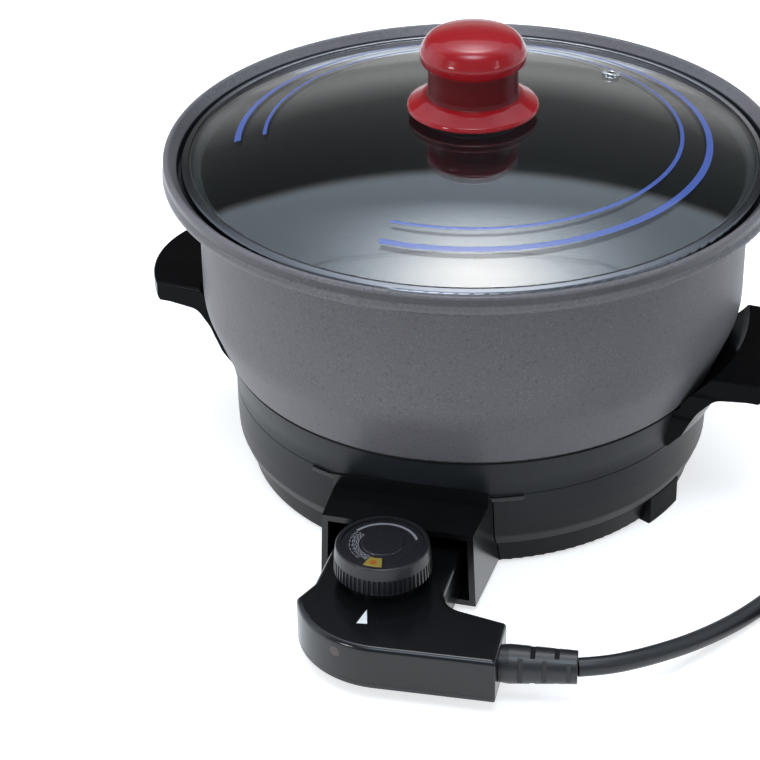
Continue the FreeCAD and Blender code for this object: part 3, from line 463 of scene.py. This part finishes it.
# Painted shade: the ring's top edge blackened under the pot.
painted_lip_shade = ((base_height - lip_height) * 3000).limited()
painted_lip_shade.tinted(painted_height_shade, (0.002, 0.002, 0.002)).feed("Base Color")
(0.29 + cloud * 0.10 + grit * 0.08 + painted_lip_shade * 0.3).feed("Roughness")
grit.bumped(0.00004).feed("Normal")
dress(base_plastic, "base_upper_ring", "base_skirt")
dress(moulded("tray_plastic", (0.004, 0.004, 0.0045), 0.38, 1900.0, 0.00003, 0.2,
              {"Specular IOR Level": 0.12}), "base_tray")
dress(moulded("feet_rubber", (0.006, 0.006, 0.006), 0.62, 1400.0, 0.00004, 0.2,
              {"Specular IOR Level": 0.12}), "feet")


# ---- handles -------------------------------------------------------------------------
# Two phenolic ear handles, pressed in a polished mould and screwed to bosses on the pot
# so that they stand off its wall.

dress(moulded("handle_plastic", (0.0015, 0.0015, 0.0018), 0.20, 2400.0, 0.00001, 0.2,
              {"Specular IOR Level": 0.08}), "left_handle", "right_handle")


# ---- guard ---------------------------------------------------------------------------
# The hood over the pins, moulded in the same gloss black as the control and screwed
# to the skirt.

dress(moulded("gloss_black", (0.0045, 0.0045, 0.0050), 0.17, 2600.0, 0.000006, 0.2,
              {"Specular IOR Level": 0.45}), "connector_guard", "control_cover", "dial_collar")


# ---- lid glass -----------------------------------------------------------------------
# A low dome of tempered soda glass, faintly green at its thick edge, held in a rolled
# steel band. It is clear, so the dark pot shows through.

lid_glass, place = new_finish("lid_glass", {"IOR": 1.52, "Transmission Weight": 1.0})
(place.noise(30.0, 2.0) * 0.02).feed("Roughness")
place.noise(9.0, 1.0).tinted((0.91, 0.97, 0.965), (0.94, 0.985, 0.98)).feed("Base Color")
glass_nodes = place.tree.nodes
lit_glass = Wire(place.tree, glass_nodes["Principled BSDF"].outputs[0])
in_shadow = place.node("LightPath", None, None, 1)
clear = place.node("BsdfTransparent", None, {"Color": (0.84, 0.91, 0.90, 1)})
passed = place.node("MixShader", None, {0: in_shadow, 1: lit_glass, 2: clear})
place.tree.links.new(passed.socket, glass_nodes["Material Output"].inputs["Surface"])
dress(lid_glass, "lid_glass")


# ---- lid print -----------------------------------------------------------------------
# Two blue enamel rings fired onto the top of the glass, with a bare stretch at the
# front left.

dome_peak, dome_radius = 0.1868, 0.4358
print_start, print_end = -98.0, 196.0
print_rings = ((0.1118, 0.1150), (0.0992, 0.1011))
print_steps = 240
print_lifts = (0.00001, 0.00004, 0.00004, 0.00001)


def on_dome(reach, angle, lift):
    """Place above the top of the glass, from its middle."""
    height = dome_peak - dome_radius + math.sqrt(dome_radius ** 2 - reach ** 2)
    return heading(angle) * reach + Vector((0, 0, height + lift))


fired_rings = bmesh.new()
for inner, outer in print_rings:
    rows = []
    for step in range(print_steps + 1):
        angle = print_start + (print_end - print_start) * step / print_steps
        places = [on_dome(inner + (outer - inner) * side / 3, angle, lift)
                  for side, lift in enumerate(print_lifts)]
        rows.append([fired_rings.verts.new(place) for place in places])
    skin(fired_rings, rows)
enamel, place = new_finish("blue_enamel", {"Specular IOR Level": 0.4})
place.noise(700.0, 2.0).tinted((0.050, 0.080, 0.26), (0.072, 0.112, 0.33)).feed("Base Color")
(0.05 + place.noise(240.0, 2.0) * 0.08).feed("Roughness")
add_piece("lid_print", finished("lid_print", fired_rings, True), enamel, "lid")


# ---- lid band and vent ---------------------------------------------------------------
# Stainless strip rolled round the glass, kept dark by painted shade but for a painted
# highlight on the lap at the far side. A bead of silicone closes the lap. The vent is a
# pressed eyelet of brushed steel, like the knob's washer.

stainless, place = new_finish("brushed_stainless", {"Metallic": 1.0})
across, back, rise = place.parts()
reach = from_axis(across, back)
ring_place = reach.node("CombineXYZ", None, {"X": reach, "Y": rise, "Z": 0.0})
lines = ring_place.noise(9000.0, 3.0)
wear = place.noise(60.0, 3.0)
(lines * 0.6 + wear * 0.4).tinted((0.48, 0.49, 0.50), (0.66, 0.67, 0.68)).feed("Base Color")
(0.14 + lines * 0.12 + wear * 0.08).feed("Roughness")
lines.bumped(0.000003).feed("Normal")
dress(stainless, "vent_eyelet", "knob_washer")

lap_height = 0.1612
rolled_strip, place = new_finish("rolled_strip", {"Metallic": 1.0})
back, rise = place.parts()[1:]
streaks = place.noise(40.0, 3.0, (1.0, 1.0, 60.0))
# Painted highlight on the lap at the far side, painted shade on the rest of the band.
lap_painted_highlight = (back * 14.0).limited() * ((rise - lap_height) * 1500).limited()
painted_shade_steel = streaks.tinted((0.10, 0.105, 0.115), (0.15, 0.155, 0.165))
painted_highlight_steel = streaks.tinted((0.60, 0.60, 0.62), (0.74, 0.74, 0.76))
lap_painted_highlight.tinted(painted_shade_steel, painted_highlight_steel).feed("Base Color")
(0.16 + streaks * 0.12).feed("Roughness")
streaks.bumped(0.000003).feed("Normal")
dress(rolled_strip, "lid_band")

lap_end = 0.1369
bead_lift = 0.00001
bead_steps = 240
bead_section = ((-0.0009, 0.0), (-0.0007, 0.0003), (-0.0002, 0.0004), (0.0, 0.0001))
bead = bmesh.new()
bead_rows = []
for step in range(bead_steps):
    places = [on_dome(lap_end + outward, 360 * step / bead_steps, bead_lift + lift)
              for outward, lift in bead_section]
    bead_rows.append([bead.verts.new(place) for place in places])
skin(bead, bead_rows + bead_rows[:1])
seal_silicone = moulded("seal_silicone", (0.010, 0.010, 0.011), 0.45, 1500.0, 0.00001)
add_piece("band_seal", finished("band_seal", bead, True), seal_silicone, "lid")


# ---- knob ----------------------------------------------------------------------------
# A red phenolic flange and cap, one pressing each and buffed, with a less glossy neck
# that painted shade darkens under the cap, over a light silicone gasket. A screw through the
# glass holds them.

neck_reach, neck_top = 0.0230, 0.2106
knob_red, place = new_finish("knob_red", {"Coat Roughness": 0.05, "Specular IOR Level": 0.14})
across, back, rise = place.parts()
mottle = place.noise(55.0, 3.0)
fine = place.noise(1600.0, 2.0)
red = (mottle * 0.7 + fine * 0.3).tinted((0.26, 0.005, 0.008), (0.35, 0.008, 0.013))
on_neck = ((neck_reach - from_axis(across, back)) * 900).limited()
on_neck = on_neck * ((neck_top - rise) * 900).limited()
# Painted shade: the neck's colour darkened under the cap.
(on_neck * 0.72).tinted(red, (0.020, 0.004, 0.004)).feed("Base Color")
(0.52 - on_neck * 0.48).feed("Coat Weight")
(0.20 + mottle * 0.08).feed("Roughness")
fine.bumped(0.000004).feed("Normal")
dress(knob_red, "knob_base", "knob_cap")
dress(moulded("knob_silicone", (0.52, 0.50, 0.50), 0.5, 1600.0, 0.00001, 0.08), "knob_gasket")


# ---- control -------------------------------------------------------------------------
# The plug-in thermostat: a gloss cover on a duller base, with a red lamp lens at the
# front, a snap switch inside and a long steel probe between the sleeves for the pins.
# The pointer for the dial is a white triangle printed on the cover.

dress(moulded("control_plastic", (0.010, 0.010, 0.011), 0.30, 2000.0, 0.00002), "control_base")
dress(stainless, "thermostat_probe")
dress(metal("brass_sleeve", (0.62, 0.43, 0.18), 0.26, 0.3, 300.0), "contact_sleeves")
dress(moulded("switch_body", (0.32, 0.27, 0.19), 0.5, 1200.0, 0.00002), "thermostat_switch")

lens_red, place = new_finish("lens_red", {"IOR": 1.49, "Coat Weight": 0.4})
facets = place.noise(900.0, 1.0)
facets.tinted((0.012, 0.002, 0.002), (0.030, 0.003, 0.003)).feed("Base Color")
(0.10 + facets * 0.12).feed("Roughness")
facets.bumped(0.00003).feed("Normal")
dress(lens_red, "pilot_lens")

cover_top = 0.0300
pointer_corners = [(-0.0008, -0.1944), (-0.0026, -0.2052), (0.0021, -0.2044)]
ink_thick = 0.00005


def ink(name, thin, full, gloss):
    """Printing ink, a little uneven in its cover."""
    material, place = new_finish(name, {"Specular IOR Level": 0.4})
    place.noise(1500.0, 2.0).tinted(thin, full).feed("Base Color")
    (gloss + place.noise(700.0, 2.0) * 0.12).feed("Roughness")
    return material


def printed_patch(name, corners, height, colour, body):
    """Flat printed shape with upright sides, a hair thick, on a level face."""
    mesh = bmesh.new()
    low = [mesh.verts.new((x, y, height)) for x, y in corners]
    high = [mesh.verts.new((x, y, height + ink_thick)) for x, y in corners]
    mesh.faces.new(high)
    mesh.faces.new(low[::-1])
    skin(mesh, [low + low[:1], high + high[:1]])
    bmesh.ops.recalc_face_normals(mesh, faces=mesh.faces)
    return add_piece(name, finished(name, mesh), colour, body)


white_ink = ink("white_ink", (0.62, 0.62, 0.62), (0.78, 0.78, 0.77), 0.34)
printed_patch("dial_pointer", pointer_corners, cover_top, white_ink, "control")


# ---- dial ----------------------------------------------------------------------------
# A ribbed black cup with a plate snapped into its top. Numbers, an arc for off and a
# yellow mark for keep-warm are printed round the plate's raised middle.

dial_centre = Vector((0, -0.170, 0))
plate_top = 0.0492
numbers = ("80", "100", "120", "140", "160", "180", "200", "220")
number_start, number_step = 249, 12.8
number_reach, number_size = 0.0106, 0.0035
number_thick = 0.00003
arc_band, arc_sweep = (0.0150, 0.0163), (26, 152)
warm_band, warm_sweep = (0.0112, 0.0181), (256, 284)
spot_reach, spot_angle, spot_radius = 0.0147, 269, 0.0016

dress(moulded("dial_black", (0.010, 0.010, 0.012), 0.30, 2400.0, 0.00001, 0.2), "dial")
dress(nickel_plate, "dial_shaft")

plate_black, place = new_finish("plate_black", {"Specular IOR Level": 0.45})
offset = place.node("VectorMath", {"operation": "SUBTRACT"}, {0: place, 1: tuple(dial_centre)})
across, back = offset.parts()[:2]
lathe = (from_axis(across, back) * 9000.0).math("SINE")
grain = place.noise(2200.0, 2.0)
grain.tinted((0.0065, 0.0065, 0.0085), (0.0135, 0.0130, 0.0165)).feed("Base Color")
(0.22 + grain * 0.10 + lathe * 0.02).feed("Roughness")
lathe.bumped(0.000002).feed("Normal")
dress(plate_black, "dial_plate")

grey_ink = ink("grey_ink", (0.17, 0.17, 0.18), (0.27, 0.27, 0.285), 0.34)
yellow_ink = ink("yellow_ink", (0.20, 0.145, 0.022), (0.30, 0.225, 0.04), 0.32)
orange_ink = ink("orange_ink", (0.26, 0.07, 0.010), (0.36, 0.10, 0.015), 0.32)


def on_plate(reach, angle):
    """Place on the dial's plate, from its middle."""
    place = dial_centre + heading(angle) * reach
    return place.x, place.y


def curved_bar(band, sweep, steps):
    """Outline of a curved bar on the plate."""
    (inner, outer), (start, end) = band, sweep
    angles = [start + (end - start) * step / steps for step in range(steps + 1)]
    return ([on_plate(outer, angle) for angle in angles]
            + [on_plate(inner, angle) for angle in reversed(angles)])


def printed_number(text, angle):
    """A number that reads outward along the plate's radius, as a thin mesh."""
    line = bpy.data.curves.new("number_" + text, "FONT")
    line.body = text
    line.size = number_size
    line.align_x = "RIGHT"
    line.align_y = "CENTER"
    line.extrude = number_thick
    line.resolution_u = 4
    shaped = bpy.data.objects.new("number_shape_" + text, line)
    bpy.context.scene.collection.objects.link(shaped)
    bpy.context.view_layer.update()
    drawn = shaped.evaluated_get(bpy.context.evaluated_depsgraph_get())
    mesh = bpy.data.meshes.new_from_object(drawn)
    bpy.data.objects.remove(shaped)
    bpy.data.curves.remove(line)
    x, y = on_plate(number_reach, angle)
    out, beside = heading(angle + 180), heading(angle + 270)
    for vertex in mesh.vertices:
        along, sideways, lift = vertex.co
        vertex.co = (out * along + beside * sideways
                     + Vector((x, y, plate_top + number_thick + lift)))
    return add_piece("dial_number_" + text, mesh, grey_ink, "dial")


for index, text in enumerate(numbers):
    printed_number(text, number_start - index * number_step)
printed_patch("dial_arc", curved_bar(arc_band, arc_sweep, 48), plate_top, grey_ink, "dial")
printed_patch("dial_warm_mark", curved_bar(warm_band, warm_sweep, 10), plate_top,
              yellow_ink, "dial")
spot_middle = Vector((*on_plate(spot_reach, spot_angle), 0))
spot = [(spot_middle + heading(15 * step) * spot_radius).to_2d() for step in range(24)]
printed_patch("dial_warm_spot", spot, plate_top + ink_thick, orange_ink, "dial")


# ---- table top and lights ------------------------------------------------------------
# A plain white table. One wide panel hangs over the far side with a soft bright middle,
# a small soft one in front, a tall lamp at the left and two small ones low at the near
# side.

half = 20
table_white = (0.66, 0.66, 0.66, 1)
table_glow = 0.64
glow_starts_to_fade, glow_fade = 1.5, 0.9

table_mesh = bpy.data.meshes.new("table_top")
table_mesh.from_pydata([(-half, -half, 0), (half, -half, 0), (half, half, 0), (-half, half, 0)],
                       [], [(0, 1, 2, 3)])
table_top = bpy.data.objects.new("table_top", table_mesh)
bpy.context.scene.collection.objects.link(table_top)
table_finish, spot_on_table = new_finish("table_white", {
    "Base Color": table_white, "Roughness": 0.9, "Specular IOR Level": 0.0})
table_tree = spot_on_table.tree
seen = spot_on_table.node("LightPath")
rays = seen.socket.node.outputs
mirrored = Wire(table_tree, rays["Is Glossy Ray"])
refracted = Wire(table_tree, rays["Is Transmission Ray"])
apart = spot_on_table.node("VectorMath", {"operation": "LENGTH"}, {0: spot_on_table}, 1)
near_by = ((glow_starts_to_fade - apart) / glow_fade).limited()
shown = (seen + refracted + mirrored * near_by).limited()
glow = seen.node("Emission", None, {"Strength": shown * table_glow})
lit_table = Wire(table_tree, table_tree.nodes["Principled BSDF"].outputs[0])
whole = seen.node("AddShader", None, {0: lit_table, 1: glow})
table_tree.links.new(whole.socket, table_tree.nodes["Material Output"].inputs["Surface"])
table_mesh.materials.append(table_finish)

panel_turn = math.radians(102)
panel_edge, panel_edge_bow = 0.755, 0.22
panel_joint, joint_half = 0.515, 0.005
bright_level, front_level = 8.2, 10.5
front_middle = 0.36

studio = bpy.data.worlds.new("studio")
bpy.context.scene.world = studio
studio.use_nodes = True
sky_tree = studio.node_tree
east, north, height = Wire(sky_tree, None).node("TexCoord", output=0).parts()
ahead = east * math.cos(panel_turn) + north * math.sin(panel_turn)
aside = east * math.sin(panel_turn) - north * math.cos(panel_turn)
aside_square = aside * aside

low_sky = height.node("ValToRGB", {"stops": [
    (0.00, (0.60,) * 3), (0.07, (0.58,) * 3), (0.09, (0.42,) * 3), (0.12, (0.44,) * 3),
    (0.17, (0.54,) * 3), (0.21, (0.50,) * 3), (0.27, (0.34,) * 3), (0.34, (0.17,) * 3),
    (0.45, (0.12,) * 3), (0.60, (0.09,) * 3)]}, {"Fac": height})
near_side = (0.0 - ahead).limited()
left_side = ((-0.10 - aside) / 0.35).limited()
right_side = ((aside - 0.20) / 0.45).limited()
dim_sky = low_sky * (1 - near_side * 0.45) * (1 - left_side * 0.45) * (1 - right_side * 0.85)

in_panel = ((panel_edge - aside_square * panel_edge_bow - ahead) / 0.022).limited()
behind = ((0.30 - ahead) / 0.45).limited()
panel = in_panel * (0.78 + (aside_square * -9.0).math("EXPONENT") * 0.30)
panel = (panel + ((0.52 - ahead) / 0.25).limited() * 0.60 * in_panel) * (1 - behind * 0.80)
joint = (1 - ((ahead - panel_joint).math("ABSOLUTE") / joint_half)).limited()
bright = ((0.665 - ahead) / 0.20).limited() * ((ahead - 0.12) / 0.16).limited()
bright = bright * (aside_square * -27.0).math("EXPONENT") * in_panel
from_front = ahead + front_middle
front_glow = (from_front * from_front * -36.0 - aside_square * 18.0).math("EXPONENT")

level = dim_sky + panel + bright * bright_level + front_glow * front_level
level = level * (1 - joint * 0.40)
sky_colour = (in_panel * (1 - bright)).limited().tinted((1.0, 0.985, 0.985), (0.86, 0.98, 1.12))
background = sky_tree.nodes["Background"]
sky_tree.links.new(sky_colour.socket, background.inputs["Color"])
sky_tree.links.new(level.socket, background.inputs["Strength"])


def panel_lamp(name, place, aim_height, size, power):
    """A soft oblong lamp, turned to a height over the table's middle."""
    lamp = bpy.data.lights.new(name, "AREA")
    lamp.shape = "RECTANGLE"
    lamp.size, lamp.size_y = size
    lamp.energy = power
    stand = bpy.data.objects.new(name, lamp)
    stand.location = place
    toward = Vector((0, 0, aim_height)) - Vector(place)
    stand.rotation_euler = toward.to_track_quat("-Z", "Y").to_euler()
    bpy.context.scene.collection.objects.link(stand)


panel_lamp("left_lamp", (-1.8, -0.7, 0.75), 0.1, (0.8, 1.5), 2.7)
panel_lamp("near_left_lamp", (-0.81, -1.22, 0.66), 0.15, (0.26, 0.26), 4)
panel_lamp("near_right_lamp", (1.30, -0.63, 0.66), 0.15, (0.26, 0.26), 1.1)
